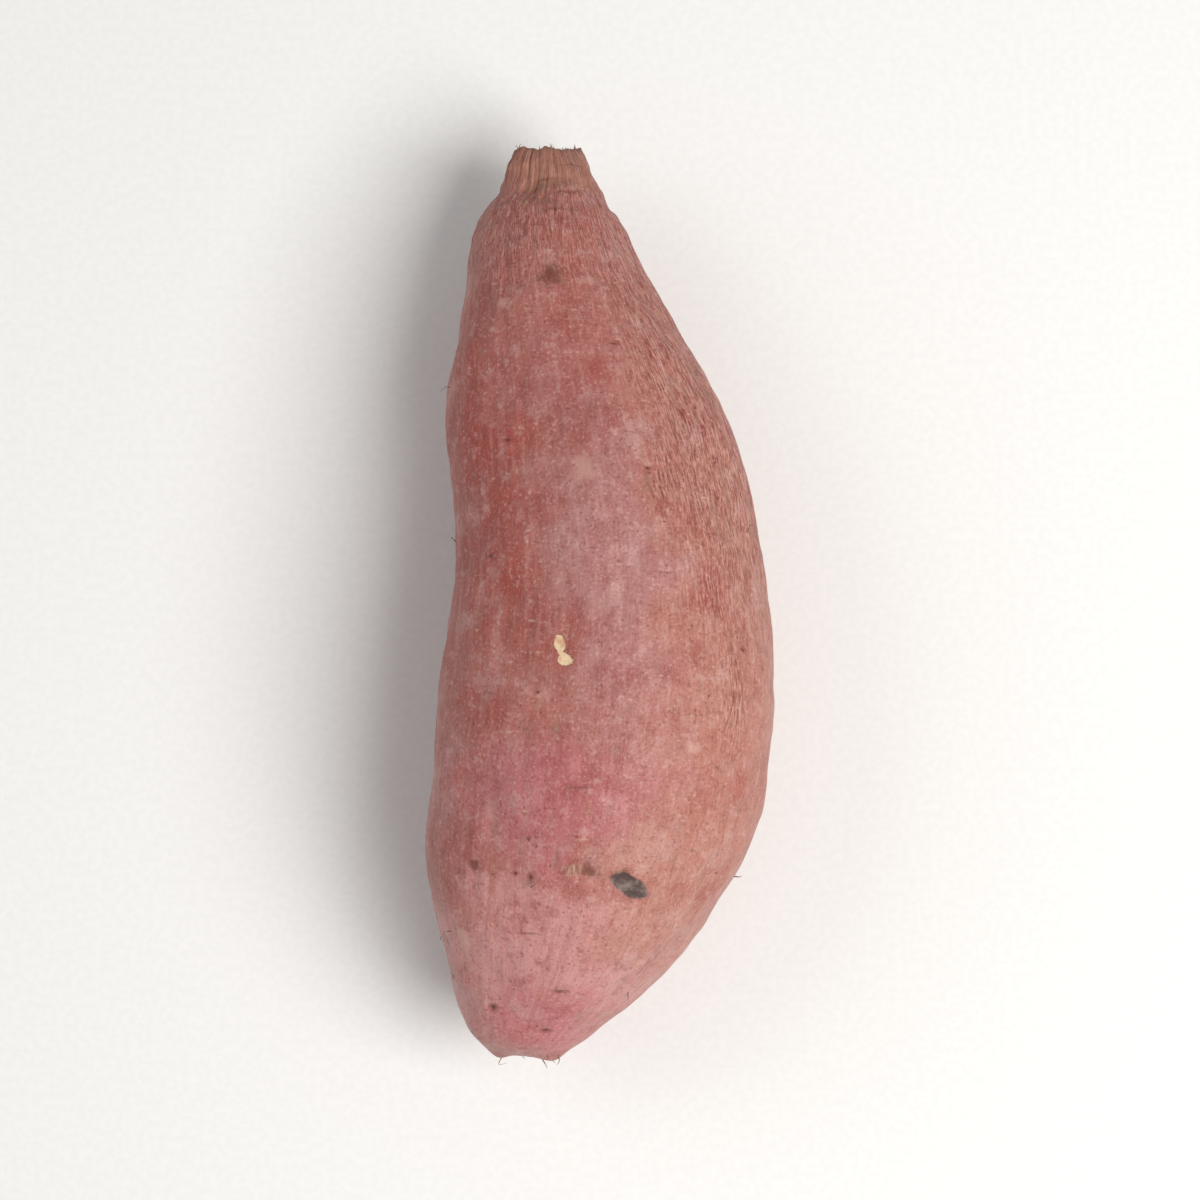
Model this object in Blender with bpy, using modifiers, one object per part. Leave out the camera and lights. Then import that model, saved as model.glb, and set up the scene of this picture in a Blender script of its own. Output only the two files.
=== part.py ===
"""A sweet potato: one storage root, lying on its side on a small flat spot.

The root lies along Y, with its cut stem end at +Y and its tail at -Y. X is across it and Z is up.
The origin is on the surface that it lies on, under the middle of its box. Units are metres.
"""

import math

import bmesh
import bpy
from mathutils import Vector

MM = 0.001

# Driving dimensions
LENGTH = 180.0 * MM          # tail tip to the cut face of the stem
WIDTH = 67.0 * MM            # across the fullest part
HEIGHT = 60.5 * MM           # from the surface to the crown
STEM_CUT_TILT = math.radians(7)
RING_POINTS = 8              # points round each ring of the cage
SMOOTHING_LEVELS = 2

# The root's four edges, ring by ring from tail to stem, in millimetres on a root of DRAWN_SIZE: place along
# Y, left and right edges seen from above, lower and upper edges seen from the side.
DRAWN_SIZE = Vector((67.0, 180.0, 60.5))
DRAWN_MIDDLE = Vector((0.1, -1.0, 0.0))   # what becomes the origin
TAIL_TIP = Vector((-13.9, -91.5, 24.5))
RINGS = (
    # y,     left,  right, under,  top
    (-90.0, -21.3, -6.8, 18.6, 30.6),
    (-85.6, -26.2, 0.0, 11.9, 37.2),
    (-77.0, -29.4, 10.7, 6.7, 45.4),
    (-64.0, -32.4, 22.9, 2.3, 53.0),
    (-48.0, -33.8, 30.7, -0.4, 58.4),
    (-31.0, -33.0, 33.7, -1.2, 60.7),
    (-13.0, -30.4, 33.8, -1.4, 60.5),
    (5.0, -28.9, 31.9, -1.0, 58.7),
    (23.0, -29.3, 28.5, -0.2, 55.6),
    (40.0, -29.8, 22.0, 1.9, 51.1),
    (55.0, -28.3, 13.6, 5.4, 45.7),
    (67.0, -26.4, 7.4, 9.2, 41.0),
    (74.6, -24.4, 3.8, 12.2, 37.9),
    (78.8, -20.2, 0.2, 15.8, 34.2),
    (83.0, -18.3, -1.7, 17.3, 32.6),
    (90.6, -16.6, -4.0, 18.9, 31.0),
)
STEM_TIP = Vector((-10.3, 94.0, 25.0))
STEM_CUT = Vector((-10.3, 88.25, 25.0))   # the middle of the cut face

# A ring of a smoothed cage settles inside its points by this share, so the points stand further out.
RING_SWELL = 3 / (2 + math.cos(2 * math.pi / RING_POINTS))

SKIN_COLOUR = (0.42, 0.13, 0.115, 1.0)


def to_size(point):
    """A point of the drawn root, in millimetres, brought to the part's frame and driving dimensions."""
    scale = (WIDTH / DRAWN_SIZE.x, LENGTH / DRAWN_SIZE.y, HEIGHT / DRAWN_SIZE.z)
    return Vector((value - middle) * share for value, middle, share in zip(point, DRAWN_MIDDLE, scale))


def clear_scene():
    for obj in list(bpy.data.objects):
        bpy.data.objects.remove(obj)


def collection(name):
    made = bpy.data.collections.new(name)
    bpy.context.scene.collection.children.link(made)
    return made


def skin_material():
    material = bpy.data.materials.new("skin")
    material.use_nodes = True
    shader = material.node_tree.nodes["Principled BSDF"]
    shader.inputs["Base Color"].default_value = SKIN_COLOUR
    shader.inputs["Roughness"].default_value = 0.55
    shader.inputs["Metallic"].default_value = 0.0
    return material


def cage_point(sphere_point):
    """Where a point of the unit sphere goes: its ring to a station of the root, its bearing to the oval."""
    last = len(RINGS) + 1
    ring = round(math.acos(max(-1.0, min(1.0, -sphere_point.z))) / math.pi * last)
    if ring == 0:
        return to_size(TAIL_TIP)
    if ring == last:
        return to_size(STEM_TIP)
    y, left, right, under, top = RINGS[ring - 1]
    bearing = math.atan2(sphere_point.y, sphere_point.x)
    x = (left + right) / 2 + (right - left) / 2 * RING_SWELL * math.cos(bearing)
    z = (under + top) / 2 + (top - under) / 2 * RING_SWELL * math.sin(bearing)
    return to_size((x, y, z))


def root_body(home, material):
    """A coarse sphere drawn out into the root's cage, then smoothed."""
    mesh = bpy.data.meshes.new("sweet_potato")
    cage = bmesh.new()
    bmesh.ops.create_uvsphere(cage, u_segments=RING_POINTS, v_segments=len(RINGS) + 1, radius=1.0)
    for vertex in cage.verts:
        vertex.co = cage_point(vertex.co)
    bmesh.ops.recalc_face_normals(cage, faces=cage.faces)
    cage.to_mesh(mesh)
    cage.free()
    mesh.materials.append(material)
    mesh.shade_smooth()
    body = bpy.data.objects.new("sweet_potato", mesh)
    home.objects.link(body)
    smoothing = body.modifiers.new("soft_form", "SUBSURF")
    smoothing.levels = SMOOTHING_LEVELS
    smoothing.render_levels = SMOOTHING_LEVELS
    return body


def block_cutter(name, home, size, place, tilt=0.0):
    """A box that takes away what lies inside it. Its place is the middle of its box, and it tilts about X."""
    mesh = bpy.data.meshes.new(name)
    block = bmesh.new()
    bmesh.ops.create_cube(block, size=1.0)
    bmesh.ops.scale(block, verts=block.verts, vec=size)
    block.to_mesh(mesh)
    block.free()
    cutter = bpy.data.objects.new(name, mesh)
    home.objects.link(cutter)
    cutter.location = place
    cutter.rotation_euler.x = tilt
    cutter.hide_render = True
    cutter.display_type = "WIRE"
    return cutter


def cut(body, cutter):
    step = body.modifiers.new(cutter.name, "BOOLEAN")
    step.operation = "DIFFERENCE"
    step.solver = "EXACT"
    step.object = cutter


def main():
    clear_scene()
    potato = collection("sweet potato")
    cutters = collection("cutters")
    body = root_body(potato, skin_material())

    # The flat spot: everything under the surface that it lies on is taken away.
    depth = HEIGHT / 2
    resting_flat = block_cutter(
        "resting_flat",
        cutters,
        (2 * WIDTH, 1.2 * LENGTH, depth),
        Vector((0, 0, -depth / 2)),
    )
    cut(body, resting_flat)

    # The knife's cut through the stem, leaning a little back.
    block = WIDTH / 2
    lean = Vector((0, math.cos(STEM_CUT_TILT), math.sin(STEM_CUT_TILT)))
    stem_cut = block_cutter(
        "stem_cut",
        cutters,
        (block, block, block),
        to_size(STEM_CUT) + lean * block / 2,
        STEM_CUT_TILT,
    )
    cut(body, stem_cut)


main()
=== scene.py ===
"""A raw sweet potato lying on a pale floor: its skin, its cut stem, and the fine dry roots on it.

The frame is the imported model's: the root lies along Y with its cut stem at +Y, X is across it and Z is up.
Inside the functions, lengths are in millimetres. Meshes and Blender's own settings are in metres.
"""

import bpy
import numpy as np
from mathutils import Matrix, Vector


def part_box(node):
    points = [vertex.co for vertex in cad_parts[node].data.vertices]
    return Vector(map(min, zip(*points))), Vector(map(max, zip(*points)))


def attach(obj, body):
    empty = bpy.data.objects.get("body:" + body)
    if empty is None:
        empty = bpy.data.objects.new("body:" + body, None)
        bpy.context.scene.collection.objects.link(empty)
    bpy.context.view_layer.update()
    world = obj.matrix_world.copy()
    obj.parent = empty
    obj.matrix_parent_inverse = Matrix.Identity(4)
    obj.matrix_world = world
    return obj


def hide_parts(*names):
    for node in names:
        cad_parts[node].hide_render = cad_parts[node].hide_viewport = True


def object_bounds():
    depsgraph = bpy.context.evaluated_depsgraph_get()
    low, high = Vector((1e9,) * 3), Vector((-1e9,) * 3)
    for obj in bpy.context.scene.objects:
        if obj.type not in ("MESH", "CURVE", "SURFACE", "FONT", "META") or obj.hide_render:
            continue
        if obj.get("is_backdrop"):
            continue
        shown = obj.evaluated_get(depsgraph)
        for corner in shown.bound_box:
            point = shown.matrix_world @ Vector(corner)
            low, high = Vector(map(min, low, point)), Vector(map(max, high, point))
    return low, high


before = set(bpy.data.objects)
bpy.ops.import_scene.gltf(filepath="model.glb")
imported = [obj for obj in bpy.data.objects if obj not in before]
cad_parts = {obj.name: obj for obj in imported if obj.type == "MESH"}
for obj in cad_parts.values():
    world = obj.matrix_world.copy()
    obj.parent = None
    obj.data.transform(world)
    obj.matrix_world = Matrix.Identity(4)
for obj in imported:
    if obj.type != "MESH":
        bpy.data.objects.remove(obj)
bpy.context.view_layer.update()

MM = 0.001
NODE = "sweet_potato"
BODY = "root"

# The root's four edges as it was drawn, in millimetres, ring by ring from tail to stem: place along Y,
# left and right edges seen from above, lower and upper edges seen from the side.
DRAWN_SIZE = np.array((67.0, 180.0, 60.5))
DRAWN_MIDDLE = np.array((0.1, -1.0, 0.0))   # what becomes the origin
TAIL_TIP = (-91.5, -13.9, -13.9, 24.5, 24.5)
RINGS = (
    (-90.0, -21.3, -6.8, 18.6, 30.6),
    (-85.6, -26.2, 0.0, 11.9, 37.2),
    (-77.0, -29.4, 10.7, 6.7, 45.4),
    (-64.0, -32.4, 22.9, 2.3, 53.0),
    (-48.0, -33.8, 30.7, -0.4, 58.4),
    (-31.0, -33.0, 33.7, -1.2, 60.7),
    (-13.0, -30.4, 33.8, -1.4, 60.5),
    (5.0, -28.9, 31.9, -1.0, 58.7),
    (23.0, -29.3, 28.5, -0.2, 55.6),
    (40.0, -29.8, 22.0, 1.9, 51.1),
    (55.0, -28.3, 13.6, 5.4, 45.7),
    (67.0, -26.4, 7.4, 9.2, 41.0),
    (74.6, -24.4, 3.8, 12.2, 37.9),
    (78.8, -20.2, 0.2, 15.8, 34.2),
    (83.0, -18.3, -1.7, 17.3, 32.6),
    (90.6, -16.6, -4.0, 18.9, 31.0),
)
STEM_TIP = (94.0, -10.3, -10.3, 25.0, 25.0)
STEM_CUT_Y = 88.0
STEM_CUT_TILT = np.radians(7)
CUT_LEAN = 7.0          # the rings come to lean with the cut over this length
SHOULDER_Y = 78.0       # where the body ends and the woody neck starts
SWELLING_PACE = 60.0    # the lobes turn by about a radian in this length
LOBES_START = 25.0      # the lobes grow to their full size over this length from the tail's tip
RELIEF_START = 14.0     # and the skin's relief over this

# The lobes of the root's cross section: share of its radius, lobes to the turn, phase, and pace of drift.
LOBES = ((0.013, 3, 0.0, 0.5), (0.009, 5, 0.8, -0.7), (0.004, 7, 2.1, 1.0))

# The short dry stumps of the roots that the tail ran out into: x and z of the middle, height and radius.
TAIL_STUMPS = ((-20.5, 22.5, 1.6, 2.6), (-9.4, 25.0, 1.4, 2.9))

PROFILE_STEPS = 4000    # small steps along the drawn profile, to measure its length by
COLUMNS = 352           # points round each ring
SKIN_RINGS = 262        # rings from the tail's tip to the rim of the cut
CUT_RINGS = 16          # rings from that rim to the middle of the cut face
CUT_RADIUS = 6.0        # about how far the cut's middle is from its rim
GRAIN_RADIUS = 30.0     # the grain pattern runs on a cylinder of about the root's own girth

# The skin's broad colours, laid one over another: x and y of the patch's middle, half its width and half its
# length, its colour, and the share that it covers of what is under it.
SKIN_COLOUR = "a5645b"
BLUSHES = (
    (2.0, 8.0, 13.0, 34.0, "a4706e", 0.75),         # dusky mauve along the middle
    (27.0, -8.0, 15.0, 62.0, "a97060", 0.85),       # tan on the dry right side
    (12.0, 50.0, 9.0, 26.0, "a86a5c", 0.8),
    (-27.0, 18.0, 15.0, 36.0, "9a4238", 0.95),      # brick red down the left flank: the skin's own deeper tone, darkened further by painted shade
    (-8.0, 43.0, 11.0, 13.0, "9c5a56", 0.6),
    (-10.0, -9.0, 6.0, 9.0, "98493f", 0.6),
    (-12.0, -40.0, 19.0, 13.0, "b0666a", 0.85),     # purple pink above the tail
    (-10.0, -72.0, 24.0, 17.0, "c48a87", 0.95),     # pale pink tail: the skin's own rose tint, lightened further by painted light
    (-12.0, -83.0, 11.0, 7.0, "b5646a", 0.75),
    (12.0, -58.0, 13.0, 15.0, "b07b6b", 0.7),
    (21.0, -0.5, 4.4, 4.6, "984b44", 0.75),         # redder spots on the tan side
    (26.0, -37.6, 2.0, 3.2, "a25247", 0.8),
    (0.5, 42.0, 3.4, 4.6, "9a4640", 0.6),
    (-9.0, 86.0, 16.0, 7.5, "9c6a58", 0.75),        # brown at the neck
)

# Marks on the skin: kind, x and y seen from above, half length, half width, turn from crosswise in degrees.
UPPER_MARKS = (
    # the dark soft blemishes, and fainter smudges
    ("blight", 5.6, -56.5, 4.3, 2.1, -33),
    ("smudge", -2.2, -54.0, 2.6, 1.6, -20),
    ("smudge", -9.2, 60.6, 2.9, 2.2, 40),
    ("smudge", -24.1, -53.1, 1.5, 1.2, 0),
    ("smudge", -13.8, -48.1, 0.6, 0.5, 0),
    ("smudge", -7.7, -76.8, 1.7, 0.7, -8),
    # paler soft patches
    ("pale", -26.0, -67.4, 2.3, 2.6, 0),
    ("pale", -18.4, 55.0, 1.3, 1.2, 0),
    ("pale", -1.9, 59.8, 1.5, 1.3, 0),
    ("pale", -20.6, 50.3, 0.9, 0.8, 0),
    ("pale", 12.0, 66.0, 1.4, 1.0, 10),
    ("pale", -3.0, 22.0, 2.4, 3.6, 10),
    ("pale", 17.0, -31.0, 2.2, 1.4, 5),
    ("pale", 7.3, -71.5, 1.6, 1.2, 0),
    ("pale", 1.2, -73.4, 1.0, 0.9, 0),
    # skin scraped off down to the flesh
    ("scuff", -7.2, -11.4, 1.15, 1.8, 8),
    ("scuff", -6.7, -14.5, 1.6, 1.2, -15),
    # cork patches and cork bars
    ("cork", 0.5, -82.0, 1.5, 1.9, 0),
    ("cork", -5.2, -54.0, 2.6, 1.5, 10),
    ("cork", 13.4, -24.2, 2.0, 0.45, 8),
    ("cork", 17.3, -25.0, 1.6, 0.5, 5),
    ("cork", -15.1, 76.0, 1.5, 0.9, 25),
    ("cork", -5.0, 79.6, 4.2, 0.6, 3),
    ("cork", 17.3, -49.8, 1.6, 0.45, 0),
    ("cork", -4.2, -82.0, 1.1, 1.0, 0),
    ("cork", -26.3, -73.0, 1.2, 0.6, 20),
    ("cork", 8.0, -72.8, 1.1, 0.5, 12),
    # eyes, where a fine root grew
    ("eye", -20.8, -80.9, 1.3, 1.0, 10),
    ("eye", -10.5, -85.1, 1.4, 0.8, 0),
    ("eye", -13.3, -54.9, 1.1, 0.8, 15),
    ("eye", -16.1, -54.6, 0.8, 0.6, 0),
    ("eye", 21.9, -54.3, 0.7, 0.5, 0),
    ("eye", -11.5, -20.6, 0.6, 0.5, 0),
    ("eye", -18.0, 28.0, 1.3, 0.6, 4),
    ("eye", 9.0, 22.0, 1.0, 0.5, -6),
    ("eye", 2.5, 47.0, 1.2, 0.5, -10),
    ("eye", -21.0, 6.0, 1.0, 0.6, 8),
    ("eye", 27.0, -12.0, 1.1, 0.6, -5),
    # creases
    ("crease", 21.9, -34.2, 2.7, 0.45, -29),
    ("crease", 17.0, -42.5, 0.35, 1.1, 0),
    ("crease", -9.0, 74.8, 6.5, 0.5, 4),
    ("crease", -12.0, 71.6, 4.0, 0.4, -6),
    ("crease", -6.0, 78.2, 6.5, 0.55, -3),
    ("crease", -11.0, 81.6, 5.0, 0.45, 6),
    ("crease", -5.5, 83.9, 4.0, 0.4, -4),
    ("crease", 12.5, 2.0, 3.2, 0.35, -4),
    ("crease", -4.0, -38.0, 3.6, 0.35, 5),
    ("crease", -14.0, -66.0, 3.4, 0.35, -3),
    # lengthwise patches of fine wrinkles
    ("pucker", 24.8, -21.0, 4.0, 12.0, 3),
    ("pucker", 21.0, -1.5, 5.0, 6.5, 0),
    ("pucker", 12.0, 20.0, 3.6, 11.0, -12),
)
LOWER_MARKS = (
    ("blight", 12.0, 18.0, 3.2, 1.8, 20),
    ("smudge", -16.0, 42.0, 3.2, 2.0, -10),
    ("pale", 4.0, -30.0, 4.0, 3.0, 10),
    ("pale", -12.0, -58.0, 3.0, 2.4, 10),
    ("scuff", -14.0, -34.0, 2.0, 1.2, -15),
    ("scuff", 17.0, -60.0, 1.1, 1.9, 30),
    ("cork", 20.0, -18.0, 2.6, 1.3, 5),
    ("cork", -18.0, 14.0, 2.4, 1.0, -8),
    ("cork", -6.0, 62.0, 2.2, 0.8, 0),
    ("crease", -20.0, -10.0, 4.6, 0.45, 6),
    ("crease", 16.0, 4.0, 5.2, 0.4, -5),
    ("crease", -8.0, 70.0, 5.0, 0.45, 4),
    ("crease", -9.0, 80.0, 6.0, 0.5, 3),
)
EYE_ROWS = (-22, -68, -122, -160, 172)   # bearings of the rows of eyes, in degrees up from +X
EYE_PLACES = np.arange(-78.0, 70.0, 17.0)   # along Y, before each row and each eye is shifted
EYE_SHIFT = 6.0
LENTICELS = 130
NARROW = 0.4            # half width of a crease or a lenticel

# What each kind of mark does to the skin, in millimetres: rise of its middle, and height of the lip round it.
# A pucker only wrinkles the skin.
MARK_RELIEF = {
    "blight": (-0.2, 0.03),
    "smudge": (-0.08, 0.0),
    "pale": (0.06, 0.0),
    "scuff": (-0.28, 0.03),
    "cork": (0.12, 0.0),
    "eye": (-0.48, 0.18),
    "crease": (-0.18, 0.06),
    "lenticel": (0.09, 0.0),
    "pucker": (0.0, 0.0),
}
FULL_SIZE_MARK = 1.3    # a mark with a smaller mean radius than this has less relief
MARK_WARP = 0.08        # how far a mark's outline is warped, as a share of its radius
MARK_RINGS = 14         # rings on each side of a mark's middle where it is warped
OUT_OF_REACH = 1000.0   # a distance added to the points that a mark must not touch

# The dry, wrinkled band along the root: the bearing of its middle up from +X, and how far from that middle
# it starts to fade and where it ends.
DRY_BEARING = np.radians(18)
DRY_CORE, DRY_EDGE = np.radians((22, 62))

# The numbers that each point of the skin carries for its material: how far it is inside each kind of mark,
# how wrinkled, woody and hollow the skin is there, whether it is on the cut, and how far out across it.
SKIN_FIELDS = (
    "blight",
    "smudge",
    "pale",
    "scuff",
    "cork",
    "eye",
    "crease",
    "lenticel",
    "wrinkle",
    "neck",
    "hollow",
    "cut",
    "across",
)

TAIL_POINT = 0.12       # how far the tail's last point stands out from its first ring

HAIRS = 16
TAIL_HAIRS = 6
STEM_FIBRES = 26
HAIR_STATIONS = 9
HAIR_SIDES = 5
HAIR_FOOT = 0.12        # the share of a hair's length that is sunk in the skin
LEAST_HEIGHT = 0.05     # hairs that would dip into the floor are kept this high

FLOOR_HALF = 3000.0

# The softboxes: name, place and size in metres, power in watts, and tint. Both face the middle of the root.
SOFTBOXES = (
    ("key", (0.55, -0.25, 0.9), 0.7, 12.0, (1.0, 0.985, 0.965)),
    ("fill", (-0.8, 0.3, 0.75), 0.8, 2.8, (0.97, 0.985, 1.0)),
)
LIT_POINT = (0, 0, 0.03)
ROOM_COLOUR = "f6f6f6"
ROOM_STRENGTH = 0.36
LENS_MM = 100.0
SENSOR_MM = 36.0
SHARE_OF_PICTURE = 0.78
ELEVATION = np.radians(87)


def smooth_step(value, low, high):
    """0 below low and 1 above high, with the curve 3t^2 - 2t^3 between them."""
    t = np.clip((value - low) / (high - low), 0.0, 1.0)
    return t * t * (3 - 2 * t)


def smooth_run(values, place):
    """A uniform cubic B-spline: each row is the mean of the four nearest rows of values, weighted by
    (1-f)^3, 3f^3-6f^2+4, -3f^3+3f^2+3f+1 and f^3, over 6, where f is how far place lies past a row."""
    row = np.clip(np.floor(place).astype(int), 1, len(values) - 3)
    f = (place - row)[:, None]
    weights = ((1 - f) ** 3, 3 * f**3 - 6 * f**2 + 4, -3 * f**3 + 3 * f**2 + 3 * f + 1, f**3)
    return sum(weight * values[row - 1 + k] for k, weight in enumerate(weights)) / 6


def unit(vectors):
    """Each vector over its own length."""
    return vectors / np.maximum(np.linalg.norm(vectors, axis=-1), 1e-9)[..., None]


def rough_field(points, wavelength, seed, waves=28):
    """A smooth random field of about unit strength: the sum of plane waves in random directions, each with a
    random phase and a length within about a third of the wavelength."""
    rng = np.random.default_rng(seed)
    directions = unit(rng.normal(size=(waves, 3)))
    turns = directions * (2 * np.pi / (wavelength * rng.uniform(0.7, 1.35, waves)))[:, None]
    phases = rng.uniform(0, 2 * np.pi, waves)
    return np.cos(points @ turns.T + phases).sum(axis=-1) * np.sqrt(2 / waves)


def surface_normals(points):
    """The outward unit normal at each point of a grid of closed rings: the cross product of the way along the
    root and the way round the ring."""
    around = np.roll(points, -1, axis=1) - np.roll(points, 1, axis=1)
    along = np.gradient(points, axis=0)
    return unit(np.cross(along, around))


def root_profile():
    """The root's edges at evenly spaced rings: cubic B-splines of the drawn rings, carried round the tail's
    tip by the first rings swapped left for right and top for bottom, and ending at the rim of the stem's cut.
    Distance along it is the sum of small steps, each the hypotenuse of a step in place and in mean radius."""
    first = np.array(RINGS[:2])[::-1, [0, 2, 1, 4, 3]]
    stations = np.vstack((first, TAIL_TIP, RINGS, STEM_TIP))
    tip, end = 2.0, len(stations) - 2.001
    fine = np.linspace(tip, end, PROFILE_STEPS)
    edges = smooth_run(stations, fine)
    fine = fine[edges[:, 0] <= STEM_CUT_Y]
    edges = edges[edges[:, 0] <= STEM_CUT_Y]
    radius = (edges[:, 2] - edges[:, 1] + edges[:, 4] - edges[:, 3]) / 4
    steps = np.hypot(np.diff(edges[:, 0]), np.diff(radius))
    run = np.concatenate(((0.0,), np.cumsum(steps)))
    evenly = np.linspace(0, run[-1], SKIN_RINGS + 1)[1:]
    return smooth_run(stations, np.interp(evenly, run, fine)), evenly


def root_form():
    """The plain root, as a grid of rings: each ring is an ellipse between its four edges, its radius swelled
    by sine lobes that drift along the root. The rings near the cut lean to the cut's tilt, and the last rings
    shrink over the cut face to its middle. Also gives each ring's distance along the profile, how far out
    across the cut it is (1 on the skin, 0 in the middle), and each point's bearing."""
    edges, run = root_profile()
    y, left, right, under, top = (column[:, None] for column in edges.T)
    bearing = np.linspace(0, 2 * np.pi, COLUMNS, endpoint=False)[None, :]
    drift = y / SWELLING_PACE
    swelling = sum(size * np.sin(n * bearing + phase + pace * drift) for size, n, phase, pace in LOBES)
    radius = 1 + swelling * smooth_step(run[:, None], 0, LOBES_START)
    x = (left + right) / 2 + (right - left) / 2 * radius * np.cos(bearing)
    z = (under + top) / 2 + (top - under) / 2 * radius * np.sin(bearing)
    lean = np.tan(STEM_CUT_TILT) * smooth_step(y, STEM_CUT_Y - CUT_LEAN, STEM_CUT_Y)
    y = y - (z - (under + top) / 2) * lean
    skin = np.stack(np.broadcast_arrays(x, y, z), axis=2)

    share = 1 - np.arange(1, CUT_RINGS + 1) / (CUT_RINGS + 0.5)
    middle = skin[-1].mean(axis=0)
    cut = middle + (skin[-1][None] - middle) * share[:, None, None]
    points = np.concatenate((skin, cut))
    across = np.concatenate((np.ones(SKIN_RINGS), share))
    run = np.concatenate((run, run[-1] + (1 - share) * CUT_RADIUS))
    return points, run, across, np.broadcast_to(bearing, points.shape[:2])


def mark_field(points, normals, x, y, length, width, turn, lower):
    """How far each point is from the middle of a mark, where 1 is the mark's edge: an ellipse in the plane
    that touches the skin at the mark, warped by a fine random field. The root's other side is far off."""
    side = np.where(lower, -1, 1)
    facing_away = normals[..., 2] * side <= 0.05
    reach = np.hypot(points[..., 0] - x, points[..., 1] - y) + OUT_OF_REACH * facing_away
    ring, column = np.unravel_index(np.argmin(reach), reach.shape)
    normal = normals[ring, column]
    crosswise = unit(np.cross((0.0, side, 0.0), normal))
    lengthwise = np.cross(normal, crosswise)
    angle = np.radians(turn)
    offset = points - points[ring, column]
    a = offset @ (crosswise * np.cos(angle) + lengthwise * np.sin(angle))
    b = offset @ (lengthwise * np.cos(angle) - crosswise * np.sin(angle))
    too_deep = np.abs(offset @ normal) > 6 + length
    turned_away = normals @ normal < 0.2
    near = np.hypot(a / length, b / width)
    rings = slice(max(ring - MARK_RINGS, 0), ring + MARK_RINGS)
    near[rings] *= 1 + MARK_WARP * rough_field(points[rings], 1.6 * max(width, 1.2), ring, waves=10)
    return near + OUT_OF_REACH * (too_deep | turned_away)


def all_marks(points, normals):
    """Every mark on the skin: those listed, rows of eyes along the sides and the underside, and small
    lenticels scattered by a seeded draw."""
    marks = [(*mark, False) for mark in UPPER_MARKS]
    marks += [(*mark, True) for mark in LOWER_MARKS]
    rng = np.random.default_rng(11)
    ring_y = points[:SKIN_RINGS, :, 1].mean(axis=1)
    lower = normals[..., 2] < 0
    for row in EYE_ROWS:
        for y in EYE_PLACES + rng.uniform(-EYE_SHIFT, EYE_SHIFT):
            ring = int(np.argmin(np.abs(ring_y - y - rng.uniform(-EYE_SHIFT, EYE_SHIFT))))
            column = int((row + rng.uniform(-10, 10)) % 360 / 360 * COLUMNS)
            kind = rng.choice(("eye", "eye", "crease"))
            length = rng.uniform(0.7, 1.9) * (1.7 if kind == "crease" else 1.0)
            width = 0.5 * length if kind == "eye" else NARROW
            turn = rng.uniform(-12, 12)
            marks.append((kind, *points[ring, column, :2], length, width, turn, lower[ring, column]))
    for _ in range(LENTICELS):
        ring = rng.integers(18, SKIN_RINGS - 26)
        column = rng.integers(COLUMNS)
        length = rng.uniform(0.5, 1.5)
        turn = rng.normal(0, 7)
        marks.append(("lenticel", *points[ring, column, :2], length, NARROW, turn, lower[ring, column]))
    return marks


def mark_relief(near, middle, lip):
    """A mark's relief: its middle falls or rises as exp(-1.5 near^2), and the lip round it is a ridge of the
    form exp(-d^2), where d is how far near is from 1.3, over 0.35."""
    return middle * np.exp(-1.5 * near**2) + lip * np.exp(-(((near - 1.3) / 0.35) ** 2))


def press_marks(points, normals):
    """The relief of all the marks together, and for each kind how far each point is inside the nearest mark:
    1 in its middle, 0 at its edge, and less than 0 outside."""
    relief = np.zeros(points.shape[:2])
    fields = {kind: np.full(points.shape[:2], -1.0) for kind in MARK_RELIEF}
    for kind, x, y, length, width, turn, lower in all_marks(points, normals):
        near = mark_field(points, normals, x, y, length, width, turn, lower)
        size = min(1.0, np.sqrt(length * width) / FULL_SIZE_MARK)
        middle, lip = MARK_RELIEF[kind]
        relief += mark_relief(near, middle * size, lip * size)
        fields[kind] = np.maximum(fields[kind], 1 - near)
    return relief, fields


def skin_tint(points):
    """The skin's broad colour at each point, in linear light: each blush covers what is under it by its share
    times exp(-d^4), where d is the distance from its middle over its reach, warped by a random field."""
    tint = np.broadcast_to(colour(SKIN_COLOUR)[:3], points.shape).copy()
    warp = np.stack([rough_field(points, 15.0, seed) for seed in (51, 52)], axis=-1)
    for x, y, width, length, shade, share in BLUSHES:
        away = (points[..., :2] - (x, y)) / (width, length) + 0.14 * warp
        cover = share * np.exp(-((away**2).sum(axis=-1) ** 2))[..., None]
        tint += (np.array(colour(shade)[:3]) - tint) * cover
    return tint


def tail_stumps(points, normals):
    """How far the tail's dry stumps stand out: each is its height times exp(-d^2), where d is the distance
    from its middle over its radius."""
    height = np.zeros(points.shape[:2])
    for x, z, tall, radius in TAIL_STUMPS:
        not_tail = normals[..., 1] > -0.1
        reach = np.hypot(points[..., 0] - x, points[..., 2] - z) + OUT_OF_REACH * not_tail
        height += tall * np.exp(-((reach / radius) ** 2))
    return height


def dry_skin(y, bearing):
    """How dry and wrinkled the skin is, from 0 to 1: a band along the upper right, soft at its edges, and all
    round the stem end."""
    from_band = np.abs((bearing + np.pi - DRY_BEARING) % (2 * np.pi) - np.pi)
    band = smooth_step(y, -30, 25) * (1 - smooth_step(from_band, DRY_CORE, DRY_EDGE))
    return np.maximum(band, 0.75 * smooth_step(y, 48, 76))


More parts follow.
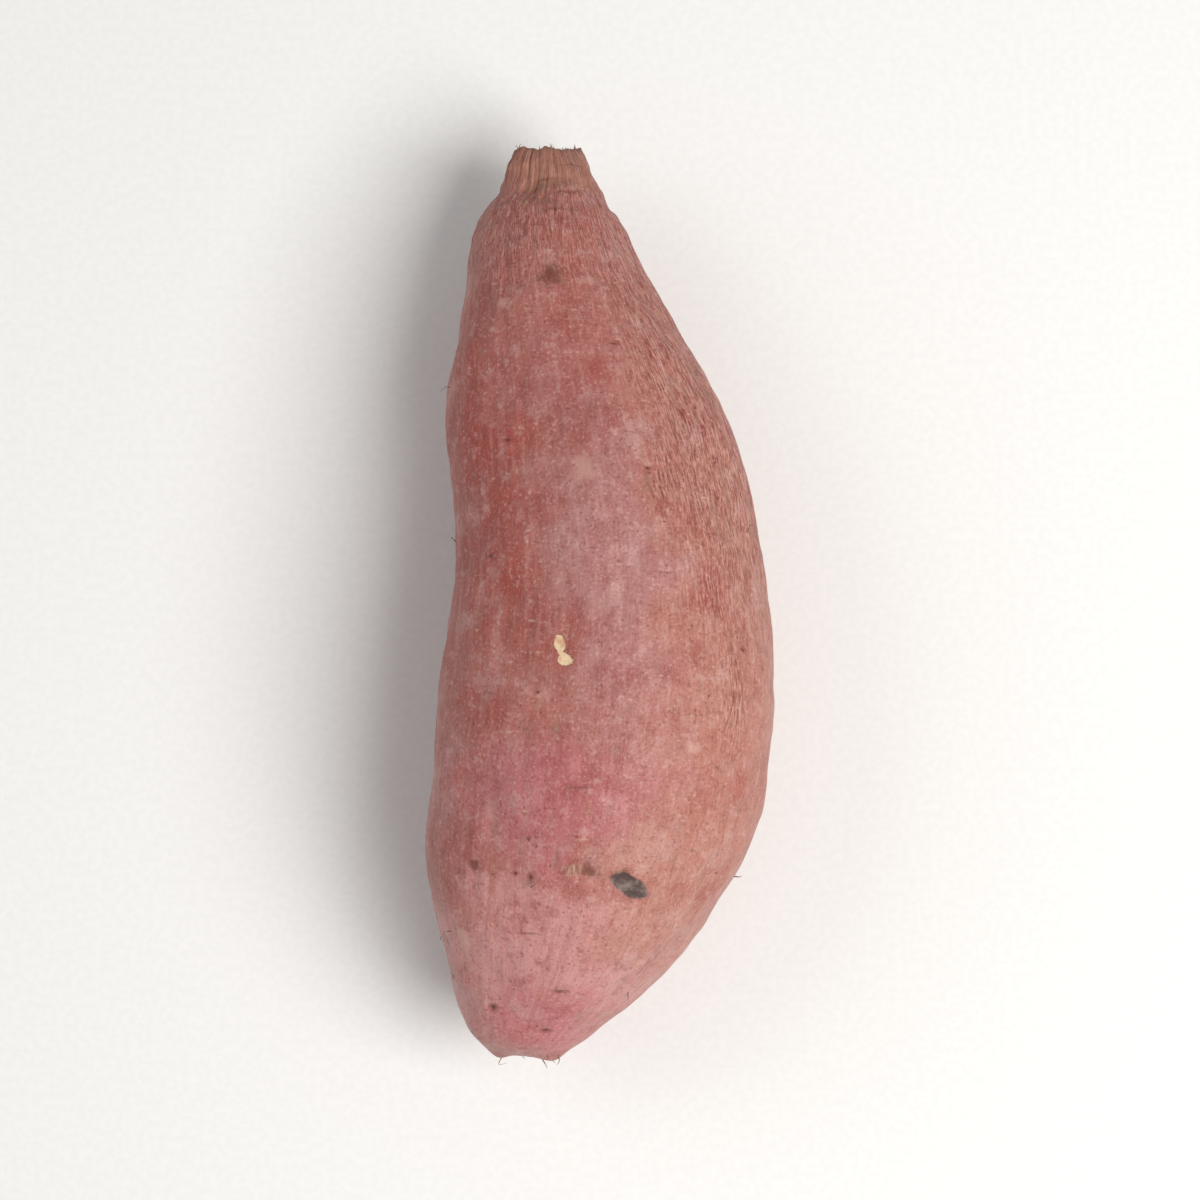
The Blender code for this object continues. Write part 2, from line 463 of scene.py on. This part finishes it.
def unevenness(points, grain, wrinkle, neck):
    """The skin's broad and fine relief, each a sum of random fields times a height in millimetres: swellings,
    wrinkles drawn out along the grain, ridges on the woody neck, and creases round the neck's foot. A field
    takes its wavelength, also in millimetres, and its seed."""
    long_grain = grain * (1.0, 1 / 9, 1.0)
    woody_grain = grain * (1.0, 1 / 14, 1.0)
    round_grain = grain * (0.14, 1.0, 0.14)
    foot = np.exp(-(((points[..., 1] - SHOULDER_Y - 2.0) / 6.0) ** 2))
    broad = 0.38 * rough_field(points, 34.0, 1)
    broad += 0.13 * rough_field(points, 13.0, 2)
    broad += 0.34 * neck * rough_field(points, 8.0, 9)
    fine = 0.05 * rough_field(points, 5.0, 3)
    fine += (0.025 + 0.08 * wrinkle) * rough_field(long_grain, 2.4, 4, waves=60)
    fine += 0.28 * neck * rough_field(woody_grain, 20.0, 5, waves=40)
    fine += 0.1 * neck * rough_field(woody_grain, 6.0, 8, waves=60)
    fine += 0.17 * foot * rough_field(round_grain, 2.8, 6, waves=40)
    return broad, fine


def root_surface():
    """The finished root: the plain form, pushed along its normals by its unevenness and its marks, drawn out
    at the tail's stumps and torn a little at the rim of the cut. It is flat where it would sink below 0."""
    points, run, across, bearing = root_form()
    normals = surface_normals(points)
    y = points[..., 1]
    on_cut = (across < 1)[:, None]
    across = across[:, None]
    along = np.broadcast_to(run[:, None], bearing.shape)
    grain = np.stack((GRAIN_RADIUS * np.cos(bearing), along, GRAIN_RADIUS * np.sin(bearing)), axis=2)
    wrinkle = dry_skin(y, bearing)
    neck = smooth_step(y, SHOULDER_Y - 3, SHOULDER_Y + 2)
    broad, fine = unevenness(points, grain, wrinkle, neck)
    pressed, fields = press_marks(points, normals)
    fine += pressed

    skin_relief = (broad + fine) * smooth_step(along, 0, RELIEF_START)
    cut_relief = 0.12 * rough_field(points, 1.7, 7) + 0.5 * smooth_step(across, 0.2, 0.9)
    points = points + normals * np.where(on_cut, cut_relief, skin_relief)[..., None]
    stumps = tail_stumps(points, normals)
    points = points + stumps[..., None] * (0.2, -1.0, 0.0)
    rim = run[SKIN_RINGS - 1]
    torn = smooth_step(along, rim - 2, rim) * smooth_step(across, 0.6, 1.0)
    points[..., 1] += 0.3 * rough_field(grain, 14.0, 10) * torn
    points[..., 2] = np.maximum(points[..., 2], 0.0)

    fields = {kind: np.clip(field, -1, 1) for kind, field in fields.items()}
    fields["wrinkle"] = np.maximum(wrinkle, 0.85 * smooth_step(fields.pop("pucker"), -0.5, 0.9))
    fields["neck"] = np.maximum(neck, 0.9 * smooth_step(stumps, 0.5, 1.3))
    fields["hollow"] = np.clip(-fine / 0.2, -1, 1)
    fields["cut"] = np.broadcast_to(on_cut, bearing.shape).astype(float)
    fields["across"] = np.broadcast_to(across, bearing.shape)
    return points, normals, {"grain": grain, "tint": skin_tint(points)}, fields


def grid_faces(rings, columns, first=0):
    """The quads between neighbouring rings of a grid of points, in outward order, closed round each ring."""
    ring, column = np.meshgrid(np.arange(rings - 1), np.arange(columns), indexing="ij")
    after = (column + 1) % columns
    here, there = ring * columns, (ring + 1) * columns
    corners = (here + column, there + column, there + after, here + after)
    return first + np.stack(corners, axis=2).reshape(-1, 4)


def new_piece(name, points, faces, material):
    """A mesh object at the origin from points in millimetres and a list of faces."""
    mesh = bpy.data.meshes.new(name)
    mesh.from_pydata((points * MM).tolist(), [], faces)
    mesh.materials.append(material)
    mesh.shade_smooth()
    mesh.validate()
    piece = bpy.data.objects.new(name, mesh)
    bpy.context.scene.collection.objects.link(piece)
    return piece


def give_attribute(mesh, name, grid):
    """Writes a grid of numbers or of vectors to the points of a mesh, and the means of its first and last
    rings to the two points that close its ends."""
    ends = np.stack((grid[0].mean(axis=0), grid[-1].mean(axis=0)))
    values = np.concatenate((grid.reshape(-1, *grid.shape[2:]), ends))
    kind, key = ("FLOAT_VECTOR", "vector") if values.ndim == 2 else ("FLOAT", "value")
    attribute = mesh.attributes.new(name, kind, "POINT")
    attribute.data.foreach_set(key, np.ascontiguousarray(values, dtype=np.float32).ravel())


def build_skin(material):
    """The root's surface: its rings, closed by a point at the tail's tip and one in the middle of the cut,
    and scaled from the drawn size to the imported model's."""
    points, normals, vectors, fields = root_surface()
    rings, columns = points.shape[:2]
    low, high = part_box(NODE)
    scale = np.array(high - low) / MM / DRAWN_SIZE
    tail_end = points[0].mean(axis=0) - (0, TAIL_POINT, 0)
    cut_middle = points[-1].mean(axis=0)
    flat = (np.vstack((points.reshape(-1, 3), tail_end, cut_middle)) - DRAWN_MIDDLE) * scale
    tail, middle = rings * columns, rings * columns + 1
    last = (rings - 1) * columns
    faces = grid_faces(rings, columns).tolist()
    faces += [(tail, k, (k + 1) % columns) for k in range(columns)]
    faces += [(middle, last + (k + 1) % columns, last + k) for k in range(columns)]
    skin = new_piece("root_skin", flat, faces, material)
    for name, grid in (*vectors.items(), *fields.items()):
        give_attribute(skin.data, name, grid)
    return skin, (points - DRAWN_MIDDLE) * scale, normals


def hair_roots(name, starts, ways, lengths, material, radius, droop, seed):
    """Fine dry roots: each is a ring of points carried along a path that leaves the skin along its way, sways
    sideways as a sine, bends down by droop times the square of the share run, and thins to a quarter."""
    rng = np.random.default_rng(seed)
    count = len(starts)
    t = np.linspace(0, 1, HAIR_STATIONS)[None, :, None]
    sway = rng.normal(size=(count, 1, 3)) * 0.25
    curl = rng.uniform(2, 5, (count, 1, 1))
    length = lengths[:, None, None]
    path = starts[:, None] + ways[:, None] * length * (t - HAIR_FOOT)
    path = path + sway * length * np.sin(curl * t) * t + np.array((0, 0, -1)) * droop * length * t**2
    tangent = unit(np.gradient(path, axis=1))
    side = unit(np.cross(tangent, np.array((0.3, 0.2, 0.9))))
    up = np.cross(tangent, side)
    angle = np.linspace(0, 2 * np.pi, HAIR_SIDES, endpoint=False)[:, None]
    ring = side[:, :, None] * np.cos(angle) + up[:, :, None] * np.sin(angle)
    width = radius * (1 - 0.75 * t) * rng.uniform(0.7, 1.3, (count, 1, 1))
    tube = path[:, :, None] + ring * width[:, :, None]
    points = tube.reshape(-1, 3)
    points[:, 2] = np.maximum(points[:, 2], LEAST_HEIGHT)

    # These rings turn the other way from the skin's, so their faces are turned over to face outwards.
    faces = []
    for first in range(0, len(points), HAIR_STATIONS * HAIR_SIDES):
        after = first + HAIR_STATIONS * HAIR_SIDES
        faces += grid_faces(HAIR_STATIONS, HAIR_SIDES, first)[:, ::-1].tolist()
        faces.append(tuple(range(first + HAIR_SIDES - 1, first - 1, -1)))
        faces.append(tuple(range(after - HAIR_SIDES, after)))
    return new_piece(name, points, faces, material)


def build_roots(points, normals, material):
    """Dry hair roots here and there, a tuft at the tail, and torn fibres round the rim of the cut."""
    rng = np.random.default_rng(23)
    rings = rng.integers(24, SKIN_RINGS - 40, HAIRS)
    columns = rng.integers(COLUMNS, size=HAIRS)
    starts = points[rings, columns]
    ways = unit(normals[rings, columns] + rng.normal(size=(HAIRS, 3)) * 0.7)
    lengths = rng.uniform(1.2, 3.4, HAIRS)
    hairs = hair_roots("hair_roots", starts, ways, lengths, material, radius=0.13, droop=0.5, seed=31)

    rings = rng.integers(1, 9, TAIL_HAIRS)
    columns = rng.integers(COLUMNS, size=TAIL_HAIRS)
    starts = points[rings, columns]
    ways = unit(normals[rings, columns] * 0.5 + rng.normal(size=(TAIL_HAIRS, 3)) * 0.4 + (0, -0.6, 0))
    lengths = rng.uniform(1.0, 2.8, TAIL_HAIRS)
    tuft = hair_roots("tail_roots", starts, ways, lengths, material, radius=0.14, droop=0.25, seed=37)

    columns = rng.integers(COLUMNS, size=STEM_FIBRES)
    rings = SKIN_RINGS - 1 + rng.integers(0, 8, STEM_FIBRES)
    starts = points[rings, columns]
    ways = unit(np.array((0, 1.0, 0.1)) + rng.normal(size=(STEM_FIBRES, 3)) * 0.35)
    lengths = rng.uniform(0.5, 1.3, STEM_FIBRES)
    fibres = hair_roots("stem_fibres", starts, ways, lengths, material, radius=0.12, droop=0.0, seed=41)
    return [hairs, tuft, fibres]


def colour(text):
    """An sRGB hex colour as linear red, green, blue and alpha."""
    values = np.array([int(text[k : k + 2], 16) for k in (0, 2, 4)]) / 255
    linear = np.where(values <= 0.04045, values / 12.92, ((values + 0.055) / 1.055) ** 2.4)
    return (*linear.tolist(), 1.0)


def add(tree, kind, inputs, out=0, **settings):
    """Adds a node with its settings, sets or links its inputs, and gives back one of its outputs."""
    made = tree.nodes.new(kind)
    for name, value in settings.items():
        setattr(made, name, value)
    for socket, value in inputs.items():
        if isinstance(value, bpy.types.NodeSocket):
            tree.links.new(value, made.inputs[socket])
        else:
            made.inputs[socket].default_value = value
    return made.outputs[out]


def start_material(name):
    """A new material's node tree and its Principled shader."""
    material = bpy.data.materials.new(name)
    material.use_nodes = True
    return material, material.node_tree, material.node_tree.nodes["Principled BSDF"]


def spread(tree, cover, pattern, rows):
    """Makes patterns into covers: each is 0 at its first value, its most at its second, and a soft step
    between them. A row with one more name keeps its cover within that other cover."""
    for name, source, low, high, most, *within in rows:
        for other in within:
            most = add(tree, "ShaderNodeMath", {0: cover[other], 1: most}, operation="MULTIPLY")
        limits = {"Value": pattern[source], "From Min": low, "From Max": high, "To Min": 0.0, "To Max": most}
        cover[name] = add(tree, "ShaderNodeMapRange", limits, interpolation_type="SMOOTHSTEP")


def painted(tree, cover, tone, layers):
    """Lays colours over a tone one after another, each as thickly as its cover says."""
    for name, shade in layers:
        mixed = {0: cover[name], 6: tone, 7: shade}
        tone = add(tree, "ShaderNodeMix", mixed, out=2, data_type="RGBA")
    return tone


def total(tree, parts):
    """The sum of patterns, each times its own share."""
    so_far = 0.0
    for source, share in parts:
        so_far = add(tree, "ShaderNodeMath", {0: source, 1: share, 2: so_far}, operation="MULTIPLY_ADD")
    return so_far


# The skin's noise: name, space, size across and along in millimetres, detail and roughness. Place is plain
# space, and grain follows the root's length. Real grit and grain are finer than the grit and the fine streaks
# here, which are as coarse as they need to be to show.
SKIN_NOISE = (
    ("patches", "place", 9.0, 9.0, 4.0, 0.6),
    ("mottle", "place", 2.6, 2.6, 5.0, 0.62),
    ("grit", "place", 0.6, 0.6, 3.0, 0.6),
    ("pith", "place", 1.1, 1.1, 3.0, 0.55),
    ("bands", "grain", 2.6, 30.0, 3.0, 0.6),
    ("streaks", "grain", 1.1, 9.0, 4.0, 0.6),
    ("fine_streaks", "grain", 0.42, 2.4, 2.0, 0.6),
    ("hairlines", "grain", 6.0, 0.7, 2.0, 0.5),
)

# Dots on the skin: name, and their spacing in millimetres.
SKIN_DOTS = (("pores", 2.4), ("pale_pores", 3.7))

# How each mark's edge is broken up: name, the mark's field, and the size in millimetres and share of the
# noise that is added to it. Half of the noise's share is its mean.
MARK_EDGES = (
    ("pale_edge", "pale", 1.6, 1.0),
    ("smudge_edge", "smudge", 1.6, 2.6),
    ("crease_edge", "crease", 0.8, 0.9),
    ("lenticel_edge", "lenticel", 0.5, 0.8),
    ("cork_edge", "cork", 0.8, 1.4),
    ("eye_edge", "eye", 0.6, 0.8),
    ("eye_middle", "eye", 0.5, 0.7),
    ("blight_halo", "blight", 1.6, 0.8),
    ("blight_edge", "blight", 1.0, 0.22),
    ("scuff_rim", "scuff", 0.8, 0.6),
    ("scuff_edge", "scuff", 0.7, 0.6),
)

# Covers: name, pattern, the values where the cover starts and is full, its most, and for a few of them the
# other cover that it stays within.
SKIN_COVERS = (
    ("red_patches", "patches", 0.5, 0.72, 0.55),
    ("dusty_patches", "patches", 0.48, 0.28, 0.55),
    ("brown_bands", "bands", 0.52, 0.7, 0.3),
    ("pale_bands", "bands", 0.46, 0.3, 0.25),
    ("pale_mottle", "mottle", 0.52, 0.72, 0.5),
    ("dark_mottle", "mottle", 0.47, 0.3, 0.42),
    ("pale_streaks", "streaks", 0.53, 0.7, 0.26),
    ("wine_streaks", "streaks", 0.45, 0.3, 0.22),
    ("dry", "wrinkle", -0.25, 1.0, 1.0),
    ("dark_wrinkles", "fine_streaks", 0.5, 0.36, 0.8, "dry"),
    ("pale_wrinkles", "fine_streaks", 0.52, 0.66, 0.6, "dry"),
    ("crosswise_lines", "hairlines", 0.34, 0.26, 0.25),
    ("crosswise_grooves", "hairlines", 0.36, 0.27, 1.0),
    ("pale_grit", "grit", 0.55, 0.7, 0.38),
    ("dark_grit", "grit", 0.45, 0.3, 0.45),
    ("pores", "pores", 0.14, 0.07, 0.5),
    ("pale_pores", "pale_pores", 0.11, 0.05, 0.3),
    ("hollows", "hollow", 0.1, 1.0, 1.0),
    ("soil", "mottle", 0.42, 0.6, 0.55, "hollows"),
    ("woody", "woody", 0.9, 1.7, 0.7),
    ("bark_ridges", "streaks", 0.42, 0.62, 1.0),
    ("bark_fissures", "fine_streaks", 0.42, 0.3, 0.6),
    ("pale", "pale_edge", 0.3, 1.2, 0.5),
    ("smudge", "smudge_edge", 1.05, 2.0, 0.8),
    ("crease", "crease_edge", 0.3, 1.3, 0.55),
    ("lenticel", "lenticel_edge", 0.45, 1.1, 0.55),
    ("cork", "cork_edge", 0.65, 1.35, 0.7),
    ("cork_ridges", "fine_streaks", 0.42, 0.6, 1.0),
    ("eye", "eye_edge", 0.1, 0.8, 0.5),
    ("eye_heart", "eye_middle", 0.7, 1.2, 0.75),
    ("halo", "blight_halo", -0.1, 0.6, 0.5),
    ("blight", "blight_edge", 0.02, 0.28, 0.92),
    ("blight_bloom", "mottle", 0.44, 0.66, 1.0),
    ("scuff_rim", "scuff_rim", 0.0, 0.35, 0.5),
    ("scuff", "scuff_edge", 0.25, 0.45, 0.95),
    ("dried_flesh", "mottle", 0.45, 0.65, 1.0),
    ("past_pith", "across", 0.6, 0.72, 1.0),
    ("past_ring", "across", 0.76, 0.86, 1.0),
    ("pith_patches", "pith", 0.42, 0.6, 1.0),
    ("pith_fibres", "fine_streaks", 0.42, 0.3, 0.55),
    ("rind", "across", 0.84, 1.0, 0.8),
)


def sweet_potato_skin():
    """Raw sweet potato skin, a dry corky root bark: matt to satin, rose red over brick, mottled, with a fine
    lengthwise grain, pale and dark specks, tan cork scars, and browner wood at the neck and the cut."""
    material, tree, shader = start_material("sweet_potato_skin")
    space = {"grain": add(tree, "ShaderNodeAttribute", {}, out=1, attribute_name="grain")}
    metres = add(tree, "ShaderNodeTexCoord", {}, out=3)
    space["place"] = add(tree, "ShaderNodeMapping", {"Vector": metres, "Scale": (1 / MM, 1 / MM, 1 / MM)})
    pattern = {}
    for name in SKIN_FIELDS:
        pattern[name] = add(tree, "ShaderNodeAttribute", {}, out=2, attribute_name=name)
    for name, where, across, length, detail, rough in SKIN_NOISE:
        sizes = (1 / across, 1 / length, 1 / across)
        drawn_out = add(tree, "ShaderNodeMapping", {"Vector": space[where], "Scale": sizes})
        noise = {"Vector": drawn_out, "Scale": 1.0, "Detail": detail, "Roughness": rough}
        pattern[name] = add(tree, "ShaderNodeTexNoise", noise)
    for name, spacing in SKIN_DOTS:
        pattern[name] = add(tree, "ShaderNodeTexVoronoi", {"Vector": space["place"], "Scale": 1 / spacing})
    for name, mark, size, share in MARK_EDGES:
        noise = {"Vector": space["place"], "Scale": 1 / size, "Detail": 4.0, "Roughness": 0.65}
        ragged = {0: add(tree, "ShaderNodeTexNoise", noise), 1: share, 2: pattern[mark]}
        pattern[name] = add(tree, "ShaderNodeMath", ragged, operation="MULTIPLY_ADD")
    pattern["woody"] = total(tree, ((pattern["patches"], 0.9), (pattern["neck"], 1.0)))

    cover = {"cut": pattern["cut"]}
    spread(tree, cover, pattern, SKIN_COVERS)
    cover["ring"] = total(tree, ((cover["past_pith"], 1.0), (cover["past_ring"], -1.0)))
    spread(tree, cover, pattern, (("vessels", "grit", 0.55, 0.42, 0.75, "ring"),))

    bark = painted(tree, cover, colour("96614f"), (
        ("bark_ridges", colour("b28573")),
        ("bark_fissures", colour("643c30")),
    ))
    cork = painted(tree, cover, colour("8a5f4b"), (("cork_ridges", colour("bf9880")),))
    blight = painted(tree, cover, colour("3b302d"), (("blight_bloom", colour("7b6c66")),))
    flesh = painted(tree, cover, colour("dfc39f"), (("dried_flesh", colour("c79a79")),))
    pith = painted(tree, cover, colour("cf9c86"), (
        ("pith_patches", colour("ae7a68")),
        ("pith_fibres", colour("7c4f3d")),
        ("vessels", colour("6f4234")),
        ("rind", colour("6d4034")),
    ))
    tint = add(tree, "ShaderNodeAttribute", {}, out=0, attribute_name="tint")
    tone = painted(tree, cover, tint, (
        # redder and dustier patches, bands along the root, and mottling
        ("red_patches", colour("8c3d35")),
        ("dusty_patches", colour("b98f89")),
        ("brown_bands", colour("965443")),
        ("pale_bands", colour("bd8d86")),
        ("pale_mottle", colour("c39892")),
        ("dark_mottle", colour("823c35")),
        # the grain, and the wrinkles where the skin is dry
        ("pale_streaks", colour("c09284")),
        ("wine_streaks", colour("7c3a33")),
        ("dark_wrinkles", colour("78332c")),
        ("pale_wrinkles", colour("cb9d8e")),
        ("crosswise_lines", colour("7f4439")),
        # specks, pores, and a little dry soil left in the hollows
        ("pale_grit", colour("cfa79f")),
        ("dark_grit", colour("6c2f29")),
        ("pores", colour("6a2f29")),
        ("pale_pores", colour("d2ab9c")),
        ("soil", colour("82604d")),
        # the woody neck
        ("woody", bark),
        # the marks, from the faintest to the plainest
        ("pale", colour("c49a8b")),
        ("smudge", colour("6b3a2e")),
        ("crease", colour("6f3a31")),
        ("lenticel", colour("c29c8a")),
        ("cork", cork),
        ("eye", colour("7f3a31")),
        ("eye_heart", colour("552a21")),
        ("halo", colour("8a5047")),
        ("blight", blight),
        ("scuff_rim", colour("935548")),
        ("scuff", flesh),
        # the cut: dried flesh, browner towards the skin, with a ring of vessels just inside it
        ("cut", pith),
    ))
    tree.links.new(tone, shader.inputs["Base Color"])

    # Satin on the smooth skin, dull on cork, wood and wrinkles.
    dullness = (
        (pattern["mottle"], 0.18),
        (cover["cork"], 0.22),
        (cover["dry"], 0.12),
        (cover["scuff"], 0.15),
        (cover["woody"], 0.2),
        (pattern["grit"], 0.1),
        (cover["soil"], 0.3),
    )
    roughness = add(tree, "ShaderNodeMath", {0: total(tree, dullness), 1: 0.31}, operation="ADD")
    tree.links.new(roughness, shader.inputs["Roughness"])

    # Relief finer than the mesh, in millimetres.
    wrinkles = {0: pattern["fine_streaks"], 1: cover["dry"]}
    rough_cork = {0: pattern["grit"], 1: cover["cork"]}
    relief = (
        (pattern["mottle"], 0.2),
        (pattern["grit"], 0.09),
        (pattern["streaks"], 0.12),
        (add(tree, "ShaderNodeMath", wrinkles, operation="MULTIPLY"), 0.26),
        (add(tree, "ShaderNodeMath", rough_cork, operation="MULTIPLY"), 0.25),
        (cover["crosswise_grooves"], -0.035),
        (cover["blight"], -0.05),
        (cover["scuff"], -0.18),
        (cover["eye_heart"], -0.15),
    )
    bump = add(tree, "ShaderNodeBump", {"Height": total(tree, relief), "Strength": 1.0, "Distance": MM})
    tree.links.new(bump, shader.inputs["Normal"])
    shader.inputs["IOR"].default_value = 1.42
    shader.inputs["Specular IOR Level"].default_value = 0.42
    shader.inputs["Sheen Weight"].default_value = 0.06
    shader.inputs["Sheen Roughness"].default_value = 0.5
    return material


def dry_root_fibre():
    """Dried root fibre: dull brown, paler along the tops of its wrinkles."""
    material, tree, shader = start_material("dry_root_fibre")
    place = add(tree, "ShaderNodeTexCoord", {}, out=3)
    noise = add(tree, "ShaderNodeTexNoise", {"Vector": place, "Scale": 1 / (0.6 * MM), "Detail": 3.0})
    cover = {}
    spread(tree, cover, {"fibre": noise}, (("tops", "fibre", 0.4, 0.65, 1.0),))
    tone = painted(tree, cover, colour("5d3a2c"), (("tops", colour("a57c5e")),))
    tree.links.new(tone, shader.inputs["Base Color"])
    bump = add(tree, "ShaderNodeBump", {"Height": noise, "Strength": 0.6, "Distance": 0.1 * MM})
    tree.links.new(bump, shader.inputs["Normal"])
    shader.inputs["Roughness"].default_value = 0.8
    return material


def matt_white_paper():
    """Matt white paper: even, a little warm, with a very faint tooth."""
    material, tree, shader = start_material("matt_white_paper")
    place = add(tree, "ShaderNodeTexCoord", {}, out=3)
    noise = add(tree, "ShaderNodeTexNoise", {"Vector": place, "Scale": 1 / (1.5 * MM), "Detail": 3.0})
    cover = {}
    spread(tree, cover, {"tooth": noise}, (("tooth", "tooth", 0.35, 0.65, 1.0),))
    tone = painted(tree, cover, colour("e6e5e3"), (("tooth", colour("e9e8e6")),))
    tree.links.new(tone, shader.inputs["Base Color"])
    shader.inputs["Roughness"].default_value = 0.9
    shader.inputs["Specular IOR Level"].default_value = 0.15
    return material


def build_floor():
    """The floor: one square, flat at z = 0, far wider than the root."""
    corners = FLOOR_HALF * np.array(((-1, -1, 0), (1, -1, 0), (1, 1, 0), (-1, 1, 0)), float)
    floor = new_piece("floor", corners, [(0, 1, 2, 3)], matt_white_paper())
    floor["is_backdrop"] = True


def aim(thing, target):
    """Turns a camera or a light to look at a point, with +Y up in its picture."""
    thing.rotation_euler = (Vector(target) - thing.location).to_track_quat("-Z", "Y").to_euler()


def build_lights():
    """Plain soft studio light: a large softbox on the right, a weaker one on the left, and a pale room."""
    for name, place, size, power, tint in SOFTBOXES:
        lamp = bpy.data.lights.new(name, "AREA")
        lamp.shape = "SQUARE"
        lamp.size = size
        lamp.energy = power
        lamp.color = tint
        box = bpy.data.objects.new(name, lamp)
        box.location = place
        bpy.context.scene.collection.objects.link(box)
        aim(box, LIT_POINT)
    world = bpy.data.worlds.new("pale_room")
    bpy.context.scene.world = world
    world.use_nodes = True
    world.node_tree.nodes["Background"].inputs["Color"].default_value = colour(ROOM_COLOUR)
    world.node_tree.nodes["Background"].inputs["Strength"].default_value = ROOM_STRENGTH


def build_camera(low, high):
    """Looks almost straight down on the root, from where its length fills its share of the picture: that
    length over the share, times the focal length over the sensor's width."""
    lens = bpy.data.cameras.new("camera")
    lens.lens = LENS_MM
    lens.sensor_width = SENSOR_MM
    lens.clip_start = 0.01
    camera = bpy.data.objects.new("camera", lens)
    bpy.context.scene.collection.objects.link(camera)
    middle = (low + high) / 2
    distance = (high.y - low.y) / SHARE_OF_PICTURE * LENS_MM / SENSOR_MM
    camera.location = middle + Vector((0, -np.cos(ELEVATION), np.sin(ELEVATION))) * distance
    aim(camera, middle)
    bpy.context.scene.camera = camera


def main():
    """Builds the root in its place on the floor, with its lights and camera."""
    skin, points, normals = build_skin(sweet_potato_skin())
    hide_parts(NODE)
    for piece in [skin, *build_roots(points, normals, dry_root_fibre())]:
        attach(piece, BODY)
    build_floor()
    build_lights()
    build_camera(*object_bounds())
    bpy.context.scene.view_settings.view_transform = "Standard"


main()
